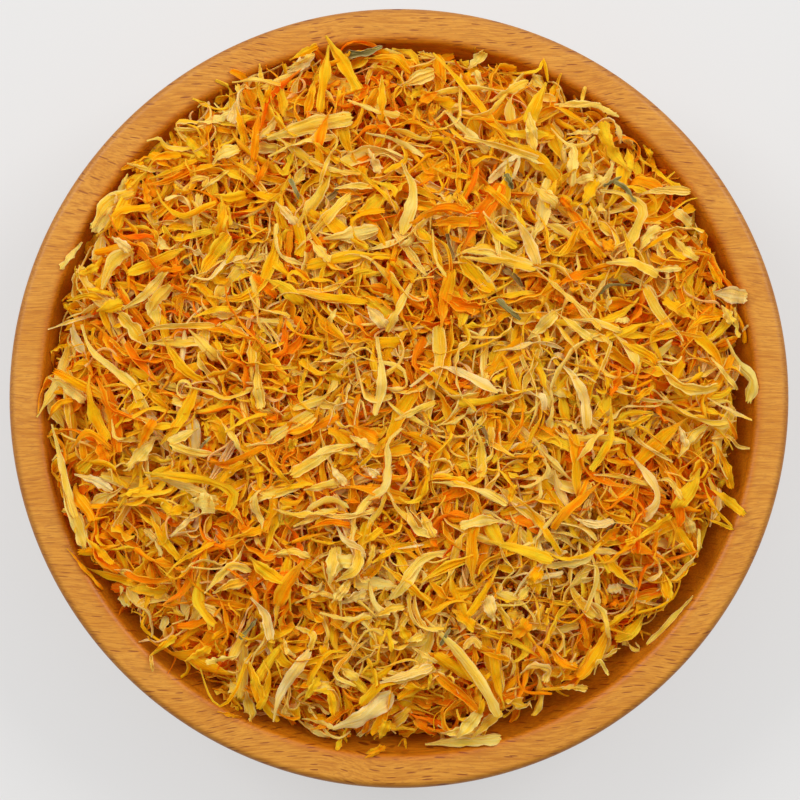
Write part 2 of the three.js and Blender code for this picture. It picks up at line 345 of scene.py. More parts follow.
# Painted shade on the outer rounding of the rim, which turns away from the light.
outer_edge_shade = node(
    beech,
    "MapRange",
    SOFT,
    Value=from_axis,
    From_Min=RIM_RADIUS - PAINTED_SHADE_FROM[0],
    From_Max=RIM_RADIUS - PAINTED_SHADE_FROM[1],
)
edge_shaded = node(beech, "Mix", MULTIPLIED, i0=1.0, i6=surface, i7=linear("#D8CFBE"))
surface = node(beech, "Mix", MIXED, i0=outer_edge_shade, i6=surface, i7=edge_shaded)

satin = node(beech, "MapRange", SOFT, Value=fibre, From_Min=0.2, From_Max=0.8, To_Min=0.38, To_Max=0.5)
relief = node(beech, "Math", {"operation": "SUBTRACT"}, i0=fibre, i1=fleck)
bump = node(beech, "Bump", Height=relief, Strength=0.25, Distance=0.1 * MM)
oiled = node(
    beech,
    "BsdfPrincipled",
    Base_Color=surface,
    Roughness=satin,
    IOR=1.5,
    Specular_IOR_Level=0.34,
    Normal=bump,
)
node(beech, "OutputMaterial", Surface=oiled)

bowl = turned("turned_bowl", bowl_profile, BOWL_SIDES, beech)
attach(bowl, "root")
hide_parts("bowl")

# ------------------------------------------------------------------ how high the heap stands
# The heap is a low dome that rises a little over the rim. A map of heights, with a cell every half
# millimetre, holds the top of what lies there so far, and each petal is laid on it in turn.

HEAP_RADIUS = 90
HEAP_EDGE = 45  # its height at that radius
HEAP_CROWN = 60.5  # and its height at the middle
HEAP_SHOULDER = 2.4  # how late it falls off to the edge, where 2 would be a parabola
LOW_SIDE = math.radians(-55)  # from +X. There the heap lies lowest and keeps farthest from the lip
LOW_SIDE_DROP = 7
LOOSE_DEPTH = 9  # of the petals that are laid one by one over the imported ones
CELL = 0.5
HALF_MAP = 102


def low_share(x, y):
    """How much of the low side's drop a place has, by its direction from the middle."""
    return ((1 + np.cos(np.arctan2(y, x) - LOW_SIDE)) / 2) ** 2


def dome(x, y):
    """The height of the finished heap, with low lumps."""
    share = np.minimum(1, np.hypot(x, y) / HEAP_RADIUS)
    edge = HEAP_EDGE - LOW_SIDE_DROP * low_share(x, y) * share**6
    lump = np.sin(x / 13 + 1.1) * np.sin(y / 16 - 0.6)
    lump = lump + 0.8 * np.sin(x / 5.5 - y / 7 + 0.4) * np.sin(y / 6 + x / 9)
    return HEAP_CROWN - (HEAP_CROWN - edge) * share**HEAP_SHOULDER + lump * (1 - share**4)


def wood_top(x, y):
    """The height of the bowl's inside and rim."""
    rounding = quarter(LIP_RADIUS + RIM_ROUNDING, LIP_HEIGHT, RIM_ROUNDING, 90)
    inside = np.array([*rounding, *inner_wall[1:]])[::-1]
    return np.interp(np.hypot(x, y), [*inside[:, 0], RIM_RADIUS], [*inside[:, 1], RIM_HEIGHT])


axis = np.arange(-HALF_MAP, HALF_MAP + CELL / 2, CELL)
map_x, map_y = np.meshgrid(axis, axis)
bowl_map = wood_top(map_x, map_y)
heap_map = np.maximum(bowl_map, dome(map_x, map_y) - LOOSE_DEPTH)


def cells(x, y):
    """The map's cells at these places."""
    column = np.clip(np.rint((x + HALF_MAP) / CELL).astype(int), 0, len(axis) - 1)
    row = np.clip(np.rint((y + HALF_MAP) / CELL).astype(int), 0, len(axis) - 1)
    return row, column


# ------------------------------------------------------------------ the imported petals
# The petals under the loose ones are packed too close to tell apart. They show as a dark, rough ground at the
# bottom of the deepest gaps, and their dark colour is painted shade.

PACKED_GAP = 0.6  # between them and the wood
PACKED_INSET = 4  # from the heap's edge
PACKED_SIDES = 180
PACKED_RINGS = 60
PACKED_LUMPS = 2  # across a lump of colour
PACKED_ROUGHNESS = 0.7  # height of the ends and folds that stand up

# Petals deep in the heap, dry and matt. Their dark brown-orange is painted shade, for the shade that falls
# under the petals above.
packed_painted_shade = new_material("packed_petals_painted_shade")
dark_place = node(packed_painted_shade, "TexCoord").outputs["Object"]
dark_noise = node(packed_painted_shade, "TexNoise", Vector=dark_place, Scale=1 / PACKED_LUMPS / MM, Detail=3)
dark_share = node(packed_painted_shade, "MapRange", SOFT, Value=dark_noise, From_Min=0.3, From_Max=0.7)
dark_colour = node(packed_painted_shade, "Mix", MIXED, i0=dark_share, i6=linear("#6A2004"), i7=linear("#B84A08"))
dark_bump = node(packed_painted_shade, "Bump", Height=dark_noise, Strength=1.0, Distance=1 * MM)
dark = node(packed_painted_shade, "BsdfPrincipled", Base_Color=dark_colour, Roughness=0.9, Normal=dark_bump)
node(packed_painted_shade, "OutputMaterial", Surface=dark)

packed_radius = HEAP_RADIUS - PACKED_INSET
under = [(r - PACKED_GAP, z + PACKED_GAP) for r, z in inner_wall[::-1] if r - PACKED_GAP < packed_radius]
crown = [(packed_radius * k / PACKED_RINGS, 0) for k in range(PACKED_RINGS, -1, -1)]
packed_profile = [(0, FLOOR_THICKNESS + PACKED_GAP), *under, *crown]
packed = turned("packed_petals", packed_profile, PACKED_SIDES, packed_painted_shade)
for vertex in packed.data.vertices:
    if vertex.co.z == 0:
        x, y = vertex.co.x / MM, vertex.co.y / MM
        rough = math.sin(x * 1.9 + 2 * math.sin(y * 0.7)) * math.sin(y * 1.7 + 2 * math.sin(x * 0.6))
        top = dome(x, y) - LOOSE_DEPTH + PACKED_ROUGHNESS * rough
        vertex.co.z = max(top, wood_top(x, y) + PACKED_GAP) * MM
packed.data.update()
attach(packed, "root")
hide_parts("petal_heap")

# ------------------------------------------------------------------ how a petal dries and lies
# A marigold petal is a strap-shaped ray floret: a narrow tube at its foot, a thin veined blade, and a tip
# with three small teeth. Drying cups it, rolls it, twists it and ruffles its edges. It then lies on what it
# fell on.

PETAL_THICKNESS = 0.1
TEETH = (-0.9, 0.35, -0.35, 0.6, -0.35, 0.35, -0.9)  # how far a tip stands out, from edge to edge
FLATTEST, TIGHTEST = 0.1, 6.2  # cups, as the angle in radians from edge to edge
LEAST_BEND = 0.05  # radians, which keeps the arc across a blade from a radius without end
CURLED_END = 0.3  # of the length, at the tip and at the foot
FOLD_SPAN = 0.8  # of a step along the blade
FOLDS_WITHIN = (0.15, 0.85)  # of the length
CLAW_REACH = 0.4  # of the length, where the rolled foot has opened out
EDGES_REST_AT = 0.35  # of the width, from the middle line
ON_ITS_EDGE = 0.25  # of the width, which a petal that lies on its edge stands higher
WOOD_GAP = 0.3  # between a petal's middle line and the wood, besides its share of the width
EDGE_ROOM = (0.4, 4.6)  # from the lip, on the heap's high side and on its low side
MOST_HEIGHT = 67  # of the heap: a petal that would stand higher is left out
random = np.random.default_rng(20)


class Sort:
    """One sort of floret: its size, how it dries, its material, and the bodies of those that are laid."""

    def __init__(self, name, material, stations, strips, share, warm, **facts):
        self.name = name
        self.material = material
        self.stations = stations
        self.strips = strips
        self.share = share
        self.warm = warm
        self.blades = []
        self.__dict__.update(facts)


def draw(low, high):
    """A random number between the two."""
    return random.uniform(low, high)


def smooth(values, passes=1):
    """A run of values, evened out along its length."""
    for _ in range(passes):
        padded = np.concatenate([values[:1], values, values[-1:]])
        values = (padded[:-2] + 2 * padded[1:-1] + padded[2:]) / 4
    return values


def wander(count, passes=3):
    """A smooth random run of values of about -1 to 1."""
    values = smooth(random.normal(size=count + 8), passes)[4:-4]
    return values * (1 + 0.55 * passes)


def unit(vectors):
    """The same directions, each of length 1."""
    return vectors / (np.linalg.norm(vectors, axis=1)[:, None] + 1e-9)


def dried_shape(sort, length, width):
    """A petal's middle line and its cross directions as it dries: bent across the blade, folded and twisted.
    It is turned to lie on its broad side, lengthways first, and then rolled a little."""
    n = sort.stations
    s = np.linspace(0, 1, n)
    bend = (wander(n) + draw(-1, 1)) * sort.bend / n
    bend += draw(-1, 1) * sort.curl / n * 6 * np.clip((s - (1 - CURLED_END)) / CURLED_END, 0, 1)
    bend += draw(-1, 1) * sort.curl / n * 6 * np.clip((CURLED_END - s) / CURLED_END, 0, 1)
    for _ in range(random.poisson(sort.folds)):
        fold = draw(0.5, 1.6) * random.choice([-1, 1]) * 0.7
        bend += fold * np.exp(-(((s - draw(*FOLDS_WITHIN)) * n / FOLD_SPAN) ** 2))
    twist = (wander(n) + 2 * draw(-1, 1)) * sort.twist / n
    sweep = (wander(n) + 2 * draw(-1, 1)) * sort.sweep / n
    frames = np.zeros((n, 3, 3))
    turned_so_far = np.eye(3)
    for i in range(n):
        a, b, c = bend[i], twist[i], sweep[i]
        turned_so_far = np.array([[1, c, a], [-c, 1, b], [-a, -b, 1]]) @ turned_so_far
        turned_so_far[0] /= np.linalg.norm(turned_so_far[0])
        turned_so_far[1] -= turned_so_far[0] * (turned_so_far[0] @ turned_so_far[1])
        turned_so_far[1] /= np.linalg.norm(turned_so_far[1])
        turned_so_far[2] = np.cross(turned_so_far[0], turned_so_far[1])
        frames[i] = turned_so_far
    line = np.cumsum(frames[:, 0], axis=0) * length / (n - 1)
    line -= line.mean(axis=0)
    sides = frames[:, 1]
    spread = line.T @ line + (sides * (width[:, None] ** 2 / 8)).T @ sides
    axes = np.linalg.eigh(spread)[1][:, ::-1]
    roll = random.normal() * sort.tilt
    c, d = math.cos(roll), math.sin(roll)
    axes = axes @ np.array([[1, 0, 0], [0, c, -d], [0, d, c]])
    return line @ axes, sides @ axes


def ground_under(path, width):
    """The height of what a petal lies on, along its path. Where that slopes, its two edges share the load."""
    along = unit(np.gradient(path, axis=0))
    side = np.column_stack([-along[:, 1], along[:, 0]]) * width[:, None] * EDGES_REST_AT
    left = heap_map[cells(*(path + side).T)]
    right = heap_map[cells(*(path - side).T)]
    return np.maximum(heap_map[cells(*path.T)], (left + right) / 2)


def petal_faces(sort, centre, sides, width, cup):
    """The two faces of a petal, as grids of points, foot first."""
    n, k = len(centre), sort.strips
    s = np.linspace(0, 1, n)[:, None]
    q = np.linspace(0, 1, k + 1)[None, :]
    from_middle = 2 * q - 1
    along = unit(np.gradient(centre, axis=0))
    side = unit(sides - along * (sides * along).sum(axis=1)[:, None])
    face = np.cross(along, side)
    cup = np.where(np.abs(cup) < LEAST_BEND, LEAST_BEND, cup)[:, None]
    bent = cup * (q - 0.5)
    across = width[:, None] / cup * np.sin(bent)
    out = width[:, None] / cup * (1 - np.cos(bent))
    out -= out.mean(axis=1, keepdims=True)
    share = np.minimum(1, width[:, None] / (np.abs(cup) + 1))
    ridges = draw(0.3, 1) * sort.ridge * share
    out += ridges * np.sin(2 * math.pi * (draw(1.5, 3) * q + draw(0, 1)))
    ruffles = draw(0.2, 1) * sort.ruffle * share * from_middle**2
    out += ruffles * np.sin(2 * math.pi * (draw(1.5, 4) * s + draw(0, 1) + 0.3 * q))
    waves = draw(0, 1) * sort.ruffle * share * 0.4 * from_middle
    across += waves * np.sin(2 * math.pi * (draw(2, 5) * s + draw(0, 1)))
    ragged = random.normal(size=(n, 2)) * sort.ragged
    across += share * (ragged[:, :1] * (q < 0.01) + ragged[:, 1:] * (q > 0.99))
    middle = centre[:, None, :] + across[..., None] * side[:, None, :] + out[..., None] * face[:, None, :]
    teeth = np.interp(np.arange(k + 1) * 6 / k, range(7), TEETH) * sort.teeth * draw(0.4, 1.3)
    middle[-1] += along[-1] * (teeth + random.normal(size=k + 1) * 0.2 * sort.teeth)[:, None]
    normal = np.cos(bent)[..., None] * face[:, None, :] - np.sin(bent)[..., None] * side[:, None, :]
    half = normal * PETAL_THICKNESS / 2
    return middle + half, middle - half


def raise_map(points):
    """Raises the map of heights to a petal's upper face."""
    n, k = points.shape[:2]
    a = np.linspace(0, n - 1, 3 * (n - 1) + 1)
    b = np.linspace(0, k - 1, 2 * (k - 1) + 1)
    i, j = np.minimum(a.astype(int), n - 2), np.minimum(b.astype(int), k - 2)
    u, v = (a - i)[:, None, None], (b - j)[None, :, None]
    rows = points[i] * (1 - u) + points[i + 1] * u
    fine = rows[:, j] * (1 - v) + rows[:, j + 1] * v
    row, column = cells(fine[..., 0], fine[..., 1])
    np.maximum.at(heap_map, (row.ravel(), column.ravel()), fine[..., 2].ravel())


def settle(sort, path, natural, sides, width, cup, facts, above=0.0):
    """Lets a dried petal down on what lies along its path. Says whether it stays low enough."""
    drop = ground_under(path, width) - natural
    eased = smooth(drop, 3)
    height = natural + np.quantile(drop, sort.touch) + sort.limp * (eased - eased.mean())
    height += ON_ITS_EDGE * width * np.abs(sides[:, 2]) - sort.sink + above
    height = np.maximum(height, bowl_map[cells(*path.T)] + WOOD_GAP + EDGES_REST_AT * width)
    cup = np.clip(cup, FLATTEST, TIGHTEST) * (1 if random.random() < 0.5 else -1)
    upper, lower = petal_faces(sort, np.column_stack([path, height]), sides, width, cup)
    if max(upper[..., 2].max(), lower[..., 2].max()) > MOST_HEIGHT:
        return False
    raise_map(np.where(upper[..., 2:] > lower[..., 2:], upper, lower))
    sort.blades.append((upper, lower, *facts))
    return True


def edge_room(x, y):
    """How far the petals there keep from the lip, with an uneven edge to the heap."""
    angle = np.arctan2(y, x)
    low = low_share(x, y)
    room_there = EDGE_ROOM[0] * (1 - low) + EDGE_ROOM[1] * low
    return room_there + 0.7 * np.sin(5 * angle + 1) + 0.5 * np.sin(13 * angle + 3)


def lay(sort, x, y, heading, over, tone):
    """Dries one petal of a sort and lays it at x, y, on what is there. Says whether it fits in the bowl."""
    s = np.linspace(0, 1, sort.stations)
    length, full = draw(*sort.length), draw(*sort.width)
    width = full * np.interp(s, *sort.outline) * (1 + 0.1 * wander(sort.stations, 1))
    line, sides = dried_shape(sort, length, width)
    c, d = math.cos(heading), math.sin(heading)
    about = np.array([[c, d, 0], [-d, c, 0], [0, 0, 1]])
    line, sides = line @ about, sides @ about
    path = line[:, :2] + (x, y)
    if np.any(np.hypot(*path.T) > LIP_RADIUS - edge_room(*path.T) + over):
        return False
    cup = draw(*sort.cup) + sort.uneven * wander(sort.stations)
    cup = cup + sort.claw * np.clip(1 - s / CLAW_REACH, 0, 1)
    return settle(sort, path, line[:, 2] * sort.stiff, sides, width, cup, (full, length, tone))


MOST_FACES = 95000  # of one mesh, in quads
PATTERN_STEP = 13.7  # from one petal's veins to the next one's, in depth, so that no two are alike
MAP_MARGIN = (0.06, 0.04)  # of a face's place in the texture map, at its sides and at its ends
SHARP_FOLD = 60  # degrees between two faces, from which their edge shows


def join_petals(sort):
    """Makes the meshes of a sort's petals, each petal a closed body of its own. The attribute blade holds a
    point's place on its petal in millimetres. The attribute grown holds the petal's tone, then how far the
    point is from the foot to the tip, and from edge to edge."""
    if not sort.blades:
        return
    n, k = sort.stations, sort.strips + 1
    grid = np.arange(n * k).reshape(n, k)
    upper = np.stack([grid[:-1, :-1], grid[1:, :-1], grid[1:, 1:], grid[:-1, 1:]], axis=-1).reshape(-1, 4)
    lower = upper[:, ::-1] + n * k
    rim = np.concatenate([grid[:-1, 0], grid[-1, :-1], grid[1:, -1][::-1], grid[0, 1:][::-1]])
    after = np.roll(rim, -1)
    edge = np.stack([rim, rim + n * k, after + n * k, after], axis=-1)
    faces = np.vstack([upper, lower, edge])
    s = np.repeat(np.linspace(0, 1, n), k)
    q = np.tile(np.linspace(0, 1, k), n)
    parts = math.ceil(len(sort.blades) / (MOST_FACES // len(faces)))
    share = math.ceil(len(sort.blades) / parts)
    for part in range(parts):
        blades = sort.blades[part * share : (part + 1) * share]
        count = len(blades)
        points = np.array([np.stack([top, bottom]) for top, bottom, *_ in blades]).reshape(-1, 3) * MM
        quads = (faces[None] + (np.arange(count) * 2 * n * k)[:, None, None]).reshape(-1, 4)
        name = f"{sort.name}_{part + 1}"
        mesh = bpy.data.meshes.new(name)
        mesh.vertices.add(len(points))
        mesh.vertices.foreach_set("co", points.ravel())
        mesh.loops.add(quads.size)
        mesh.loops.foreach_set("vertex_index", quads.ravel())
        mesh.polygons.add(len(quads))
        mesh.polygons.foreach_set("loop_start", np.arange(len(quads)) * 4)
        mesh.update(calc_edges=True)

        full, length, tone = np.array([blade[2:] for blade in blades]).T
        blade = np.zeros((count, 2, n * k, 3))
        blade[..., 0] = q * full[:, None, None]
        blade[..., 1] = s * length[:, None, None]
        blade[..., 2] = np.arange(count)[:, None, None] * PATTERN_STEP
        grown = np.zeros((count, 2, n * k, 3))
        grown[..., 0] = tone[:, None, None]
        grown[..., 1] = s
        grown[..., 2] = q
        for title, values in (("blade", blade), ("grown", grown)):
            mesh.attributes.new(title, "FLOAT_VECTOR", "POINT").data.foreach_set("vector", values.ravel())

        columns = math.ceil(math.sqrt(count / 2))
        rows = math.ceil(count / columns)
        place = np.arange(count)
        corner = np.stack([place % columns * 2, place // columns], axis=1)[:, None, None, :]
        inner = np.stack([m + (1 - 2 * m) * run for m, run in zip(MAP_MARGIN, (q, s))], axis=1)[None, None]
        faced = np.array([[0, 0], [1, 0]])[None, :, None, :]
        uv = (corner + inner + faced) / (2 * columns, rows)
        layer = mesh.uv_layers.new(name="OFBake")
        layer.data.foreach_set("uv", uv.reshape(-1, 2)[quads.ravel()].ravel())

        mesh.materials.append(sort.material)
        mesh.shade_smooth()
        mesh.set_sharp_from_angle(angle=math.radians(SHARP_FOLD))
        made = bpy.data.objects.new(name, mesh)
        bpy.context.scene.collection.objects.link(made)
        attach(made, "root")
        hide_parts("petal_heap")


# A dried petal's skin: width of its patches, veins and ribs, and their length along the blade. Real veins are
# about 0.1 mm apart, and these are as coarse as they need to be to show.
PATCHES = (1.8, 7, 1)
VEINS = (0.28, 9, 1)
RIBS = (0.9, 14, 1)
CRUMPLES = (1.1, 1.6, 1)
PATCH_SPREAD = 2.2  # how far its patches stray from its own tone
FOOT_REACH = 0.4  # of the length, to which the foot's colour reaches
# The paler edge is partly the petal's own colour, and partly a painted sheen along the edge.
PALE_FROM, PALE_AT = 0.36, 0.49  # of the width, from the middle line, where the edge pales
VEIN_DEPTH = 0.3


def petal_material(name, light, middle, deep, foot, edge, glow_colour="#FFE144", vein=0.5, glow=0.53):
    """A dried ray floret's blade, between three colours, with its foot's colour, veins and pale edges. It is
    thin, so a share of the light, the glow, comes through it, in a warmer colour."""
    material = new_material(name)
    grown = node(material, "Attribute", {"attribute_name": "grown"}).outputs["Vector"]
    blade = node(material, "Attribute", {"attribute_name": "blade"}).outputs["Vector"]
    tone, along, across = node(material, "SeparateXYZ", Vector=grown).outputs

    patch = stretched(material, blade, PATCHES, Detail=2)
    shade = node(
        material, "Math", {"operation": "MULTIPLY_ADD"}, i0=patch, i1=PATCH_SPREAD, i2=-PATCH_SPREAD / 2
    )
    shade = node(material, "Math", {"operation": "ADD", "use_clamp": True}, i0=shade, i1=tone)
    half = node(material, "MapRange", SOFT, Value=shade, From_Max=0.5)
    colour = node(material, "Mix", MIXED, i0=half, i6=linear(light), i7=linear(middle))
    half = node(material, "MapRange", SOFT, Value=shade, From_Min=0.5)
    colour = node(material, "Mix", MIXED, i0=half, i6=colour, i7=linear(deep))
    footed = node(material, "MapRange", SOFT, Value=along, From_Max=FOOT_REACH, To_Min=0.8, To_Max=0)
    colour = node(material, "Mix", MIXED, i0=footed, i6=colour, i7=linear(foot))

    veins = stretched(material, blade, VEINS, Detail=2)
    ribs = stretched(material, blade, RIBS, Detail=1)
    # Where the veins and ribs lie low in the bump below, the colour is deeper, and where the veins stand high
    # it is paler: partly the veins' own colour, partly painted shade in the grooves and a painted highlight
    # on the ridges.
    veined = node(material, "Mix", MULTIPLIED, i0=vein, i6=colour, i7=linear(deep))
    off_vein = node(material, "MapRange", SOFT, Value=veins, From_Min=0.3, From_Max=0.52)
    colour = node(material, "Mix", MIXED, i0=off_vein, i6=veined, i7=colour)
    on_rib = node(material, "MapRange", SOFT, Value=ribs, From_Min=0.3, From_Max=0.5, To_Min=0.55, To_Max=0)
    colour = node(material, "Mix", MIXED, i0=on_rib, i6=colour, i7=linear(deep))
    raised = node(material, "MapRange", SOFT, Value=veins, From_Min=0.56, From_Max=0.7, To_Max=0.55)
    colour = node(material, "Mix", MIXED, i0=raised, i6=colour, i7=linear(edge))
    # The edges pale: partly their own colour, partly a painted sheen along them.
    off_middle = node(material, "Math", {"operation": "SUBTRACT"}, i0=across, i1=0.5)
    off_middle = node(material, "Math", {"operation": "ABSOLUTE"}, i0=off_middle)
    edged = node(
        material, "MapRange", SOFT, Value=off_middle, From_Min=PALE_FROM, From_Max=PALE_AT, To_Max=0.7
    )
    colour = node(material, "Mix", MIXED, i0=edged, i6=colour, i7=linear(edge))

    crumple = stretched(material, blade, CRUMPLES, Detail=1)
    relief = node(material, "Math", {"operation": "ADD"}, i0=veins, i1=crumple)
    relief = node(material, "Math", {"operation": "MULTIPLY_ADD"}, i0=ribs, i1=2, i2=relief)
    bump = node(material, "Bump", Height=relief, Strength=0.7, Distance=VEIN_DEPTH * MM)
    face = node(
        material, "BsdfPrincipled", Base_Color=colour, Roughness=0.5, Specular_IOR_Level=0.04, Normal=bump
    )
    through = node(material, "Mix", MULTIPLIED, i0=1.0, i6=colour, i7=linear(glow_colour))
    lit = node(material, "BsdfTranslucent", Color=through, Normal=bump)
    both = node(material, "MixShader", i0=glow, i1=face, i2=lit)
    node(material, "OutputMaterial", Surface=both)
    return material


# ------------------------------------------------------------------ the florets
# Marigold ray florets, dried, of eighteen sorts: flat straps, half-open ribbons, rolled threads and torn
# scraps, in each of their colours, and a few bracts and disc florets that came off with them. Each shape's
# facts say how it dries, and each material how it looks.

# The share of the full width that a floret has, at places from its foot to its tip.
STRAP_OUTLINE = ([0, 0.15, 0.35, 0.6, 0.92, 1], [0.2, 0.35, 0.8, 1, 0.9, 0.7])
RIBBON_OUTLINE = ([0, 0.2, 0.45, 0.8, 0.95, 1], [0.3, 0.45, 0.9, 1, 0.8, 0.6])
THREAD_OUTLINE = ([0, 0.1, 0.5, 0.85, 1], [0.7, 1, 0.9, 0.8, 0.4])
SCRAP_OUTLINE = ([0, 0.15, 0.5, 0.85, 1], [0.7, 0.9, 1, 0.95, 0.75])

# Length and width are least and most, in mm. Stiff, limp, touch and sink say how it lies: what is left of its
# own bends, how far it follows the ground, what share of it clears the ground, and how far it then sinks in.
# Bend, twist and sweep are over the whole length, in radians. Curl is at the ends, folds is how many creases
# it has, and tilt how far it lies on its side. Cup is the arc across it, in radians, uneven is how that
# varies, and claw is how much more its foot is rolled. The rest is how its face and edges are ruffled, in mm.
FLAT = dict(
    length=(10, 21), width=(2.0, 3.9), outline=STRAP_OUTLINE, stiff=0.8, limp=0.45, touch=0.78, sink=0.3,
    bend=1.2, twist=1.2, sweep=0.3, curl=0.7, folds=0.45, tilt=0.35,
    cup=(0.3, 2.2), uneven=0.6, claw=3.2, ridge=0.25, ruffle=0.45, teeth=0.6, ragged=0.1,
)
RIBBON = dict(
    length=(10, 23), width=(1.3, 3.1), outline=RIBBON_OUTLINE, stiff=0.8, limp=0.3, touch=0.74, sink=0.3,
    bend=2.0, twist=2.8, sweep=0.4, curl=1.0, folds=0.9, tilt=0.5,
    cup=(0.5, 3.6), uneven=1.3, claw=2.0, ridge=0.2, ruffle=0.5, teeth=0.5, ragged=0.12,
)
THREAD = dict(
    length=(6, 16), width=(0.7, 1.6), outline=THREAD_OUTLINE, stiff=0.7, limp=0.35, touch=0.7, sink=0.2,
    bend=2.4, twist=3, sweep=1.0, curl=1.6, folds=0.5, tilt=0.4,
    cup=(3.6, 6), uneven=1.2, claw=0.3, ridge=0.0, ruffle=0.1, teeth=0.1, ragged=0.05,
)
SCRAP = dict(
    length=(3.5, 9), width=(1.4, 3.4), outline=SCRAP_OUTLINE, stiff=0.8, limp=0.4, touch=0.74, sink=0.3,
    bend=1.8, twist=1.8, sweep=0.5, curl=0.6, folds=0.7, tilt=0.7,
    cup=(0.4, 3.2), uneven=1.0, claw=0.5, ridge=0.35, ruffle=1.0, teeth=0.9, ragged=0.35,
)
BRACT = dict(
    length=(4, 8), width=(0.9, 1.7), outline=THREAD_OUTLINE, stiff=0.8, limp=0.3, touch=0.74, sink=0.2,
    bend=1.4, twist=1.4, sweep=0.4, curl=0.8, folds=0.3, tilt=0.4,
    cup=(0.8, 2.4), uneven=0.6, claw=0.3, ridge=0.2, ruffle=0.4, teeth=0.2, ragged=0.1,
)

# Every floret is matt and papery, and glows where light comes through it. The commonest ones are golden
# yellow, and a deeper gold where the blade dried thicker.
golden = petal_material("golden_ray_floret", "#FEED2E", "#FEDB12", "#FEC306", "#FEE742", "#FEEF4E")
# Those that dried in more light have paled to straw yellow, with whitish edges.
pale = petal_material(
    "pale_ray_floret", "#FEF68D", "#FEED5F", "#FEDF38", "#FEEE7B", "#FEF7A8", glow_colour="#FFEB8A"
)
# A few have bleached to cream, so they stand out of the heap.
cream = petal_material(
    "bleached_ray_floret", "#FEF7B6", "#FEEF8E", "#FEE55F", "#FEF19C", "#FEF9C9", glow_colour="#FFEEA8"
)
# The florets of orange heads keep a clear warm orange.
orange = petal_material(
    "orange_ray_floret", "#FEDA1A", "#FEBF0A", "#FEA204", "#FED430", "#FEE438", glow_colour="#FFC428"
)
# The youngest of those dry darkest, to a red orange. Most of them lie low in the heap, where this darker
# colour is also painted shade.
deep = petal_material(
    "deep_orange_ray_floret", "#FEC010", "#FEA60A", "#FE8C06", "#FEC42E", "#FEC82C", glow_colour="#FFB222"
)
# A floret that has rolled up shows its outside only, which is dull and straw-coloured.
tan = petal_material(
    "rolled_straw_floret", "#FEECA4", "#FEE080", "#F8D060", "#FEE48C", "#FEF4B8", glow_colour="#FFE890"
)
# Bracts are thick and leafy, so little light comes through. They dry to a dull olive green.
green = petal_material(
    "dried_green_bract", "#B8A868", "#968648", "#6E5E2C", "#968648", "#C8B87C", "#DCCC80", vein=0.3, glow=0.2
)
# Disc florets, from the middle of the head, are as thick, and dry to a dull brown.
brown = petal_material(
    "dried_disc_floret", "#BC9850", "#987034", "#6E4C1E", "#AC8848", "#D0AC70", "#DCA452", vein=0.4, glow=0.2
)

# A sort's name, material, steps along and across its blade, share of the lower petals and of the upper ones,
# and how much it keeps to the warm places of the heap.
# The lower petals' shares lean to the orange and deep sorts: painted shade deep in the heap.
sorts = [
    Sort("golden_florets", golden, 14, 6, (0.08, 0.15), -0.2, **FLAT),
    Sort("pale_florets", pale, 14, 6, (0.0, 0.08), -1, **FLAT),
    Sort("cream_florets", cream, 14, 6, (0.0, 0.008), -1, **FLAT),
    Sort("orange_florets", orange, 14, 6, (0.08, 0.04), 0.9, **FLAT),
    Sort("deep_florets", deep, 14, 6, (0.06, 0.008), 1.0, **FLAT),
    Sort("golden_ribbons", golden, 15, 5, (0.16, 0.24), -0.2, **RIBBON),
    Sort("pale_ribbons", pale, 15, 5, (0.02, 0.15), -1, **RIBBON),
    Sort("cream_ribbons", cream, 15, 5, (0.0, 0.02), -1, **RIBBON),
    Sort("orange_ribbons", orange, 15, 5, (0.18, 0.075), 0.9, **RIBBON),
    Sort("deep_ribbons", deep, 15, 5, (0.12, 0.02), 1.0, **RIBBON),
    Sort("golden_threads", golden, 14, 5, (0.06, 0.06), 0, **THREAD),
    Sort("pale_threads", pale, 14, 5, (0.0, 0.08), -0.5, **THREAD),
    Sort("tan_threads", tan, 14, 5, (0.02, 0.045), 0, **THREAD),
    Sort("golden_scraps", golden, 9, 5, (0.1, 0.08), 0, **SCRAP),
    Sort("orange_scraps", orange, 9, 5, (0.08, 0.025), 1, **SCRAP),
    Sort("pale_scraps", pale, 9, 5, (0.0, 0.04), -1, **SCRAP),
    Sort("green_bracts", green, 11, 4, (0.001, 0.001), 0, **BRACT),
    Sort("disc_florets", brown, 11, 4, (0.002, 0.002), 0, **BRACT),
]

# ------------------------------------------------------------------ the laying of the heap
# The petals fall one by one, each on the lowest of a few places, until the heap is full. The lower ones are
# more orange and darker, which is painted shade deep in the heap, and the upper ones paler. Petals of one
# colour lie together in places, as they came off the heads.

PETALS = 11800  # that fall, of which some find the heap full or don't fit in
PLACES_TRIED = 4
FULL = 1.5  # above the dome, where no more petals are laid
UPPER_FROM = 0.35  # of the petals: from there the lower ones' shares pass into the upper ones'
UPPER_WITHIN = 0.3
STRAY = 3  # how far some petals lie out over the heap's edge
STRAY_SHARE = 0.12
TRIES = 12  # of each petal, until it fits in the bowl
TRY_NEARER = 0.03  # of the way to the middle, at each try
WARM_PULL = 0.85  # how strongly the warm places draw the orange sorts
WARM_TONE = 0.25  # how much deeper every petal is there


def warmth(x, y):
    """Where the heap is more orange, above 0, and where it is paler, below 0."""
    broad = np.sin(x / 12 + 1.7 * np.sin(y / 17 + 1)) * np.sin(y / 14 + 1.3 * np.sin(x / 19))
    return broad + 0.6 * np.sin(x / 5.3 + 2 * np.sin(y / 11)) * np.sin(y / 6.1 - x / 15)


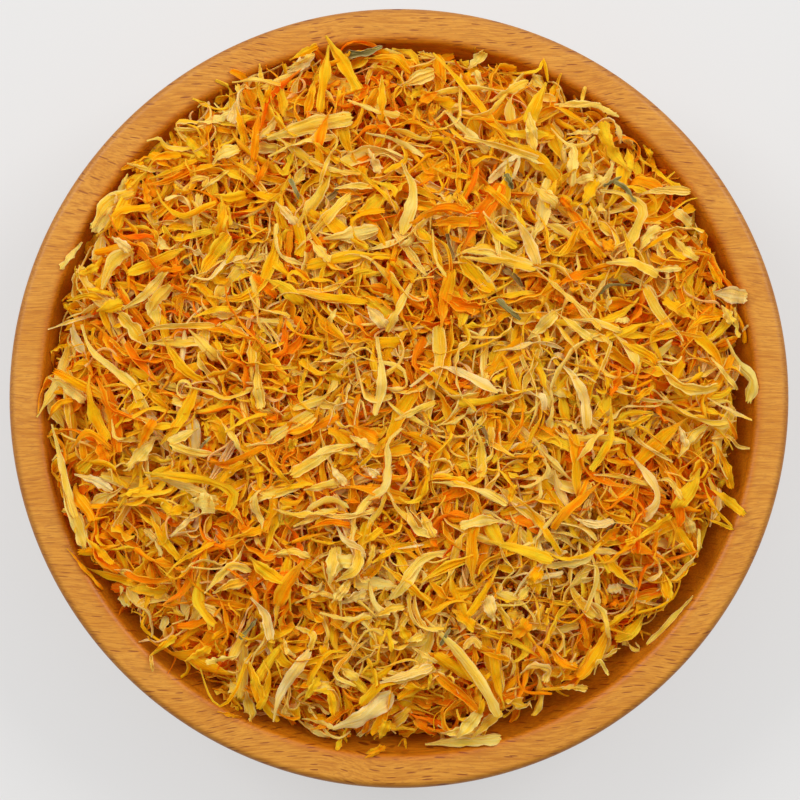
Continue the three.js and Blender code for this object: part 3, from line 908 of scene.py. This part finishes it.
shares = np.array([sort.share for sort in sorts])
shares /= shares.sum(axis=0)
warm = np.array([sort.warm for sort in sorts])
for turn in range(PETALS):
    upper_share = np.clip((turn / PETALS - UPPER_FROM) / UPPER_WITHIN, 0, 1)
    radius = (HEAP_RADIUS - 1) * np.sqrt(random.random(PLACES_TRIED))
    angle = 2 * math.pi * random.random(PLACES_TRIED)
    xs, ys = radius * np.cos(angle), radius * np.sin(angle)
    wanting = dome(xs, ys) - heap_map[cells(xs, ys)]
    lowest = int(np.argmax(wanting))
    if wanting[lowest] < -FULL:
        continue
    here = warmth(xs[lowest], ys[lowest])
    likely = shares[:, 0] * (1 - upper_share) + shares[:, 1] * upper_share
    likely = likely * np.exp(WARM_PULL * here * warm)
    sort = sorts[random.choice(len(sorts), p=likely / likely.sum())]
    over = STRAY if random.random() < STRAY_SHARE else 0
    for attempt in range(TRIES):
        shrink = 1 - TRY_NEARER * attempt
        x, y = xs[lowest] * shrink, ys[lowest] * shrink
        if heap_map[cells(x, y)] > dome(x, y) + FULL:
            break
        tone = float(np.clip(random.random() + WARM_TONE * here, 0, 1))
        if lay(sort, x, y, draw(0, 2 * math.pi), over, tone):
            break

# ------------------------------------------------------------------ the petals that show best
# On top of the heap lie large whole petals, which catch the eye. Each lies where it shows in the photograph,
# apart from a few that are left out, because they would stand too high. A row gives a petal's width and then
# the places that its middle line passes, foot first, all in pixels.

HAND_LAID_PX = {
    "orange_florets": [
        (9, 260, 111, 255, 161), (10, 342, 402, 332, 430), (10, 140, 448, 156, 420),
        (12, 98, 438, 108, 462), (16, 304, 560, 288, 582, 278, 604), (9, 714, 446, 724, 466, 730, 488),
        (8, 670, 440, 680, 452), (9, 548, 644, 560, 660, 576, 666), (6, 556, 616, 578, 616, 586, 638),
        (7, 198, 330, 220, 330, 256, 340), (7, 50, 420, 62, 404, 76, 400), (8, 72, 452, 90, 432, 114, 448),
        (4, 218, 710, 242, 716), (4, 69, 547, 104, 588), (6, 365, 755, 385, 745), (4, 724, 418, 736, 440),
        (6, 560, 520, 576, 500, 586, 480), (16, 510, 638, 528, 620), (9, 600, 482, 566, 510, 552, 528),
        (8, 308, 528, 330, 521, 350, 524), (10, 438, 94, 420, 104), (7, 270, 160, 256, 186),
        (10, 572, 212, 560, 200), (12, 600, 240, 612, 250), (5, 342, 608, 366, 608),
        (7, 366, 752, 382, 746), (7, 148, 186, 170, 182, 198, 168), (8, 144, 180, 150, 206),
        (7, 178, 312, 182, 296, 210, 304), (7, 320, 406, 310, 426, 290, 432), (14, 354, 426, 378, 440),
        (14, 432, 226, 455, 223, 478, 224), (8, 420, 216, 446, 208, 476, 216),
    ],
    "golden_florets": [
        (10, 315, 83, 307, 117), (13, 326, 38, 345, 68, 360, 95), (12, 329, 47, 321, 115),
        (8, 237, 108, 247, 147), (9, 382, 77, 382, 122), (13, 545, 85, 526, 127),
        (15, 521, 158, 549, 171, 557, 184), (15, 120, 252, 101, 290), (8, 88, 537, 114, 563),
        (9, 300, 294, 367, 302), (20, 392, 352, 410, 365, 440, 355), (7, 450, 317, 420, 342),
        (8, 706, 262, 720, 288), (12, 661, 570, 667, 597), (14, 98, 312, 124, 304),
        (12, 92, 375, 91, 390, 96, 414, 110, 440), (10, 162, 336, 174, 354, 186, 370, 204, 382),
        (12, 146, 472, 180, 476, 210, 480, 234, 492, 230, 510), (10, 168, 514, 188, 506),
        (9, 152, 516, 166, 540, 180, 558), (16, 130, 588, 150, 588, 168, 590),
        (14, 250, 556, 266, 570, 284, 580), (8, 186, 660, 212, 646), (8, 250, 660, 258, 680, 264, 698),
        (8, 152, 654, 178, 634), (10, 304, 700, 320, 676), (12, 488, 540, 524, 550, 552, 560),
        (10, 420, 582, 446, 566, 474, 556), (9, 498, 564, 482, 594, 468, 614), (8, 508, 504, 514, 484),
        (7, 640, 536, 624, 542), (14, 452, 608, 474, 626), (14, 528, 584, 540, 568),
        (8, 632, 608, 600, 628), (9, 446, 640, 470, 672, 494, 698), (7, 480, 650, 508, 658),
        (10, 618, 342, 648, 356, 654, 364), (9, 652, 386, 634, 400), (7, 652, 412, 626, 414, 614, 424),
        (8, 652, 414, 628, 426), (6, 652, 416, 638, 444), (9, 610, 406, 608, 440, 590, 470),
        (9, 708, 488, 726, 500, 742, 514), (7, 630, 540, 648, 528, 668, 514), (6, 560, 388, 574, 400),
        (16, 698, 468, 688, 490, 672, 508), (8, 365, 61, 392, 60, 410, 75), (7, 392, 50, 412, 56, 418, 72),
        (7, 312, 142, 340, 164), (14, 222, 196, 228, 230), (9, 274, 88, 266, 104), (8, 290, 62, 318, 48),
        (14, 628, 174, 608, 148, 600, 124), (9, 626, 150, 628, 172), (12, 580, 208, 594, 182),
        (14, 694, 320, 678, 310, 662, 300), (8, 684, 332, 700, 320, 718, 318),
        (8, 382, 564, 404, 580, 430, 602), (12, 380, 736, 388, 716), (8, 314, 688, 330, 690, 334, 712),
        (6, 382, 642, 388, 628, 392, 650), (12, 400, 624, 410, 640), (8, 150, 170, 158, 160, 182, 156),
        (8, 150, 180, 170, 174, 198, 162), (11, 186, 132, 190, 142, 206, 158),
        (10, 106, 230, 122, 212, 152, 208), (8, 128, 194, 134, 180),
        (7, 158, 192, 166, 206, 186, 218, 208, 208, 218, 204), (12, 214, 196, 230, 200, 246, 196),
        (13, 226, 206, 220, 236), (16, 200, 278, 218, 252, 230, 236), (12, 190, 248, 150, 266, 130, 274),
        (11, 208, 296, 240, 300, 262, 284, 272, 262, 280, 236), (7, 70, 302, 90, 297, 106, 300),
        (10, 80, 276, 100, 268), (8, 362, 544, 382, 528), (8, 250, 472, 268, 466),
        (9, 514, 214, 500, 200, 486, 188), (9, 484, 218, 494, 234, 516, 248),
        (9, 494, 122, 506, 134, 526, 136, 548, 136), (7, 578, 230, 600, 260), (8, 456, 194, 470, 212),
        (14, 506, 142, 532, 156, 548, 172, 558, 188),
    ],
    "golden_ribbons": [
        (5, 168, 574, 182, 560, 218, 540), (6, 120, 496, 150, 486), (7, 194, 318, 218, 310, 238, 310),
        (6, 226, 432, 250, 418, 268, 414), (8, 275, 165, 285, 175, 294, 153),
        (7, 516, 498, 532, 512, 560, 554), (5, 544, 550, 564, 558, 586, 554, 600, 542),
        (5, 466, 688, 490, 672), (4, 700, 480, 710, 504, 730, 526), (4, 700, 516, 730, 528),
        (4, 640, 360, 630, 396), (4, 498, 75, 535, 74, 542, 62, 547, 83),
        (8, 433, 54, 465, 90, 494, 128, 489, 138), (6, 682, 410, 700, 409, 722, 416),
        (4, 202, 666, 210, 692, 222, 704, 236, 690, 250, 656, 268, 644), (7, 306, 158, 324, 174, 360, 172),
        (5, 340, 162, 368, 180, 398, 210), (6, 374, 182, 394, 190, 394, 198),
        (6, 396, 138, 406, 160, 384, 174), (5, 230, 160, 256, 176), (5, 348, 238, 368, 250),
        (6, 642, 146, 650, 158), (5, 636, 158, 652, 170, 670, 186, 688, 194),
        (5, 636, 256, 652, 244, 672, 232), (5, 570, 228, 604, 258),
        (5, 540, 220, 550, 252, 566, 252, 578, 228), (6, 456, 706, 460, 716, 476, 712, 482, 696),
        (3, 398, 744, 404, 736, 406, 746), (5, 428, 688, 432, 664), (6, 346, 478, 370, 456, 386, 438),
        (6, 276, 492, 302, 484, 314, 484), (5, 399, 496, 408, 502, 422, 496, 428, 474),
        (5, 266, 438, 272, 462, 290, 484), (6, 372, 562, 394, 548), (5, 392, 520, 408, 530, 420, 556),
        (6, 432, 168, 450, 176, 470, 178), (4, 528, 204, 544, 226, 548, 250, 560, 254, 578, 226),
        (6, 78, 290, 98, 291, 116, 296),
    ],
    "pale_florets": [
        (19, 268, 140, 310, 128, 352, 119), (13, 400, 88, 434, 74), (12, 468, 71, 484, 55),
        (14, 120, 203, 95, 232), (13, 63, 480, 75, 510, 87, 547), (12, 527, 340, 555, 313),
        (9, 555, 313, 590, 340), (16, 323, 240, 350, 236, 378, 230), (10, 297, 250, 325, 222, 350, 195),
        (12, 402, 165, 413, 195, 402, 236), (12, 425, 742, 460, 738, 500, 735), (10, 440, 730, 480, 726),
        (14, 50, 377, 68, 386, 88, 400), (14, 160, 328, 156, 312, 150, 300),
        (8, 140, 336, 158, 328, 190, 326, 216, 326), (12, 190, 330, 202, 342, 220, 360),
        (12, 258, 362, 258, 380, 262, 408), (10, 200, 428, 170, 442), (10, 222, 454, 194, 452, 172, 444),
        (16, 156, 440, 130, 468), (9, 54, 424, 62, 456, 70, 490, 78, 516), (12, 188, 490, 218, 502),
        (20, 192, 500, 216, 504), (9, 206, 592, 224, 572, 236, 564, 252, 570),
        (9, 214, 592, 230, 584, 248, 580), (8, 274, 554, 292, 550, 310, 556), (12, 248, 688, 252, 718),
        (7, 238, 654, 208, 660), (10, 330, 584, 338, 546), (10, 332, 602, 350, 582),
        (18, 462, 520, 490, 559), (12, 503, 521, 480, 520, 460, 526),
        (9, 432, 482, 460, 484, 486, 492, 506, 504), (10, 420, 510, 434, 536), (10, 518, 600, 528, 586),
        (9, 460, 652, 472, 638, 480, 646), (12, 656, 364, 674, 384, 696, 390, 716, 386),
        (12, 724, 340, 734, 362, 750, 380, 746, 402), (9, 676, 458, 690, 436, 704, 426),
        (8, 576, 460, 600, 430), (12, 682, 512, 690, 532), (6, 592, 474, 620, 476, 646, 484),
        (6, 656, 480, 668, 480, 680, 498), (7, 334, 190, 352, 187, 372, 188), (12, 220, 162, 238, 150),
        (9, 310, 240, 330, 262), (10, 638, 196, 660, 192, 688, 193), (13, 668, 208, 690, 226),
        (11, 598, 192, 620, 196, 640, 210, 634, 230, 622, 258), (11, 636, 256, 644, 240, 658, 228),
        (9, 672, 238, 684, 252, 696, 260), (11, 604, 264, 630, 264, 656, 276), (10, 720, 306, 730, 324),
        (7, 572, 320, 594, 322, 620, 332), (10, 562, 152, 572, 150, 570, 188), (12, 540, 188, 556, 208),
        (14, 382, 678, 404, 676, 434, 664), (8, 424, 562, 408, 582, 390, 598), (11, 332, 602, 346, 586),
        (8, 374, 616, 390, 608, 404, 606), (11, 424, 616, 452, 644, 480, 680, 498, 714),
        (14, 456, 736, 470, 720, 480, 708), (10, 472, 734, 500, 708), (9, 340, 666, 358, 678),
        (9, 408, 640, 424, 634), (16, 330, 582, 338, 562, 356, 560), (14, 95, 230, 110, 204, 136, 194),
        (12, 214, 166, 222, 156, 240, 150), (14, 104, 290, 114, 264, 134, 250),
        (10, 124, 310, 148, 294, 168, 270), (14, 150, 316, 158, 300, 172, 286),
        (10, 304, 490, 330, 484, 346, 482), (13, 356, 444, 330, 450, 316, 460, 292, 474),
        (10, 350, 436, 374, 448), (12, 412, 476, 450, 478), (9, 406, 506, 416, 528, 432, 534),
        (7, 318, 514, 346, 516, 374, 510), (12, 330, 582, 334, 548), (12, 336, 580, 356, 568, 360, 548),
        (8, 390, 598, 420, 560, 448, 552), (12, 534, 188, 556, 204),
        (10, 448, 262, 466, 252, 492, 254, 532, 266), (12, 528, 114, 532, 146), (10, 572, 184, 592, 178),
    ],
    "cream_florets": [
        (20, 333, 727, 362, 715, 392, 690), (12, 513, 218, 527, 240, 537, 265), (16, 710, 293, 744, 298),
        (10, 252, 596, 266, 612, 272, 638), (12, 274, 720, 282, 690, 310, 648),
        (9, 574, 518, 596, 524, 612, 520), (10, 604, 590, 620, 586), (13, 494, 620, 486, 596),
        (9, 520, 672, 532, 664, 548, 668, 544, 680), (12, 560, 364, 572, 376, 584, 400, 586, 428),
        (7, 678, 426, 684, 446), (12, 630, 456, 650, 480, 656, 500, 642, 518), (12, 367, 307, 385, 327),
        (9, 380, 682, 405, 674, 432, 665), (9, 76, 474, 98, 480, 114, 490), (12, 288, 74, 300, 68, 312, 56),
        (10, 368, 150, 380, 174), (9, 276, 202, 298, 226), (13, 342, 602, 366, 590),
        (8, 184, 246, 208, 258), (10, 114, 238, 132, 252), (9, 332, 466, 346, 484), (8, 368, 468, 378, 476),
        (7, 336, 524, 346, 540, 362, 548, 364, 556), (12, 400, 166, 412, 188, 402, 236),
    ],
    "pale_ribbons": [
        (9, 83, 325, 93, 350, 116, 370, 136, 386, 146, 408, 158, 414),
        (6, 186, 386, 210, 392, 230, 398, 254, 388), (7, 274, 508, 298, 514, 338, 510),
        (6, 294, 526, 322, 514), (8, 269, 158, 300, 144, 335, 138), (8, 348, 102, 375, 112, 400, 117),
        (8, 526, 122, 535, 153), (9, 490, 103, 527, 84), (7, 553, 107, 575, 106, 600, 107),
        (9, 464, 138, 505, 150, 548, 165), (9, 460, 258, 500, 262, 535, 270),
        (7, 535, 270, 570, 300, 600, 330), (7, 84, 243, 63, 270), (10, 377, 337, 382, 380, 375, 415),
        (4, 337, 325, 357, 355, 400, 367, 407, 385), (8, 395, 420, 435, 402), (9, 412, 282, 387, 332),
        (6, 337, 309, 328, 325), (5, 296, 602, 320, 592, 334, 596), (5, 284, 636, 288, 650, 296, 656),
        (8, 296, 626, 314, 634, 310, 648), (5, 311, 162, 336, 172, 361, 175),
        (6, 691, 594, 666, 621, 645, 643), (5, 592, 108, 617, 117), (6, 580, 598, 600, 608, 608, 636),
        (7, 558, 684, 572, 684, 586, 686), (4, 592, 672, 596, 656, 606, 672), (5, 708, 358, 736, 390),
        (4, 336, 670, 338, 682, 350, 686), (5, 260, 65, 262, 82), (5, 233, 84, 260, 83, 282, 88),
        (7, 287, 71, 315, 57), (6, 366, 134, 396, 142, 424, 158),
        (4, 330, 132, 338, 142, 330, 158, 324, 174, 320, 186), (4, 550, 130, 566, 146, 584, 146, 594, 138),
        (3, 642, 224, 660, 224), (7, 650, 271, 680, 269), (6, 732, 308, 736, 338), (6, 610, 322, 628, 320),
        (5, 302, 718, 318, 720, 336, 727), (5, 380, 628, 346, 656, 336, 674, 356, 684),
        (6, 320, 612, 348, 618, 372, 616), (6, 412, 646, 430, 656, 436, 660),
        (5, 148, 142, 160, 140, 172, 150, 194, 150), (5, 128, 164, 148, 170, 166, 172),
        (4, 202, 192, 230, 172), (6, 182, 196, 194, 182, 208, 180, 204, 188),
        (4, 402, 454, 410, 474, 400, 490), (5, 412, 454, 430, 466),
        (9, 402, 428, 388, 442, 388, 466, 384, 488, 370, 498, 356, 514), (5, 360, 574, 370, 560, 374, 544),
        (6, 566, 136, 598, 132), (4, 558, 108, 580, 108, 596, 108, 618, 118),
        (4, 432, 230, 436, 260, 446, 278), (4, 310, 458, 334, 452, 358, 454),
    ],
    "cream_ribbons": [
        (9, 410, 387, 440, 367, 475, 380, 497, 392), (4, 50, 330, 74, 322, 100, 314),
        (6, 172, 536, 198, 512), (4, 704, 398, 726, 410, 749, 420), (7, 519, 157, 488, 184),
        (5, 192, 276, 210, 280, 226, 264, 246, 257), (3, 740, 332, 746, 326),
        (3, 110, 196, 118, 196, 116, 204), (3, 296, 446, 316, 442), (3, 398, 548, 424, 544),
        (5, 488, 180, 500, 168, 518, 158, 512, 180),
    ],
    "pale_threads": [
        (3, 375, 310, 415, 327), (3, 355, 425, 361, 400, 367, 420),
        (3, 708, 438, 724, 436, 736, 446, 747, 448), (3, 622, 422, 640, 442, 672, 462),
        (3, 598, 374, 610, 342), (3, 152, 654, 154, 670), (4, 584, 89, 580, 105),
    ],
    "green_bracts": [
        (7, 347, 56, 365, 55, 382, 48), (5, 241, 637, 250, 628, 258, 617), (3, 201, 448, 212, 436),
        (5, 291, 180, 300, 200), (6, 505, 175, 512, 190), (7, 497, 300, 508, 310, 520, 320),
        (4, 440, 644, 450, 626), (3, 598, 296, 608, 286, 630, 286), (5, 612, 184, 624, 190, 634, 204),
        (4, 602, 188, 620, 178),
    ],
    "disc_florets": [
        (5, 447, 235, 450, 248, 453, 260), (6, 503, 270, 512, 276, 522, 287), (5, 506, 284, 518, 270),
    ],
}
ROLLED_CUP = 3  # from this cup on, a petal is a tube, and its width is the tube's
UNROLLED = 2.4  # times a tube's width is the width of its blade
OPEN_CUP = (0.3, 1.3)  # of the others: they lie flatter than most of their sort, which is why they show
MOST_LEAN = 0.35  # to either side, in radians
MOST_ARCH = 1.6  # of the middle over the ends
DEEPEST_TONE = 0.7
LAID_ABOVE = 0.5  # where a petal that fell there would lie


def through(points, count):
    """Evenly spaced points on a smooth line through the given ones."""
    ends = np.vstack([2 * points[0] - points[1], points, 2 * points[-1] - points[-2]])
    t = np.linspace(0, 1, 12, endpoint=False)[:, None]
    line = [
        b + t * (c - a) / 2 + t**2 * (a - 2.5 * b + 2 * c - d / 2) + t**3 * (1.5 * (b - c) + (d - a) / 2)
        for a, b, c, d in zip(ends, ends[1:], ends[2:], ends[3:])
    ]
    line = np.vstack([*line, points[-1:]])
    so_far = np.concatenate([[0], np.cumsum(np.linalg.norm(np.diff(line, axis=0), axis=1))])
    even = np.linspace(0, so_far[-1], count)
    return np.column_stack([np.interp(even, so_far, line[:, 0]), np.interp(even, so_far, line[:, 1])])


def lay_by_hand(sort, width_px, *places):
    """Lays a petal along a line of pixels, at the height of the heap there."""
    n = sort.stations
    s = np.linspace(0, 1, n)
    pixels = through(np.reshape(places, (-1, 2)).astype(float), n)
    at_rim = (pixels - RIM_CENTRE_PX) * (PIXEL, -PIXEL)
    nearer = 1 - (heap_map[cells(*at_rim.T)].mean() - RIM_HEIGHT) / CAMERA_ABOVE_RIM
    path = at_rim * nearer
    rolled = sort.cup[0] > ROLLED_CUP
    full = width_px * PIXEL * nearer * (UNROLLED if rolled else 1)
    width = full * np.interp(s, *sort.outline) * (1 + 0.08 * wander(n, 1))
    along = np.gradient(path, axis=0)
    along /= np.linalg.norm(along, axis=1)[:, None]
    lean = draw(-MOST_LEAN, MOST_LEAN) + 0.3 * wander(n)
    sides = np.column_stack([-along[:, 1] * np.cos(lean), along[:, 0] * np.cos(lean), np.sin(lean)])
    natural = 0.5 * wander(n) + draw(0, MOST_ARCH) * np.sin(math.pi * s)
    cup = draw(*sort.cup) if rolled else draw(*OPEN_CUP) + 0.3 * wander(n)
    cup = cup + sort.claw * 0.6 * np.clip(1 - s / 0.3, 0, 1)
    length = np.linalg.norm(np.diff(path, axis=0), axis=1).sum()
    facts = (full, length, draw(0, DEEPEST_TONE))
    return settle(sort, path, natural, sides, width, cup, facts, LAID_ABOVE)


named_sorts = {sort.name: sort for sort in sorts}
for name, rows in HAND_LAID_PX.items():
    for row in rows:
        lay_by_hand(named_sorts[name], *row)

for sort in sorts:
    join_petals(sort)

# ------------------------------------------------------------------ the end
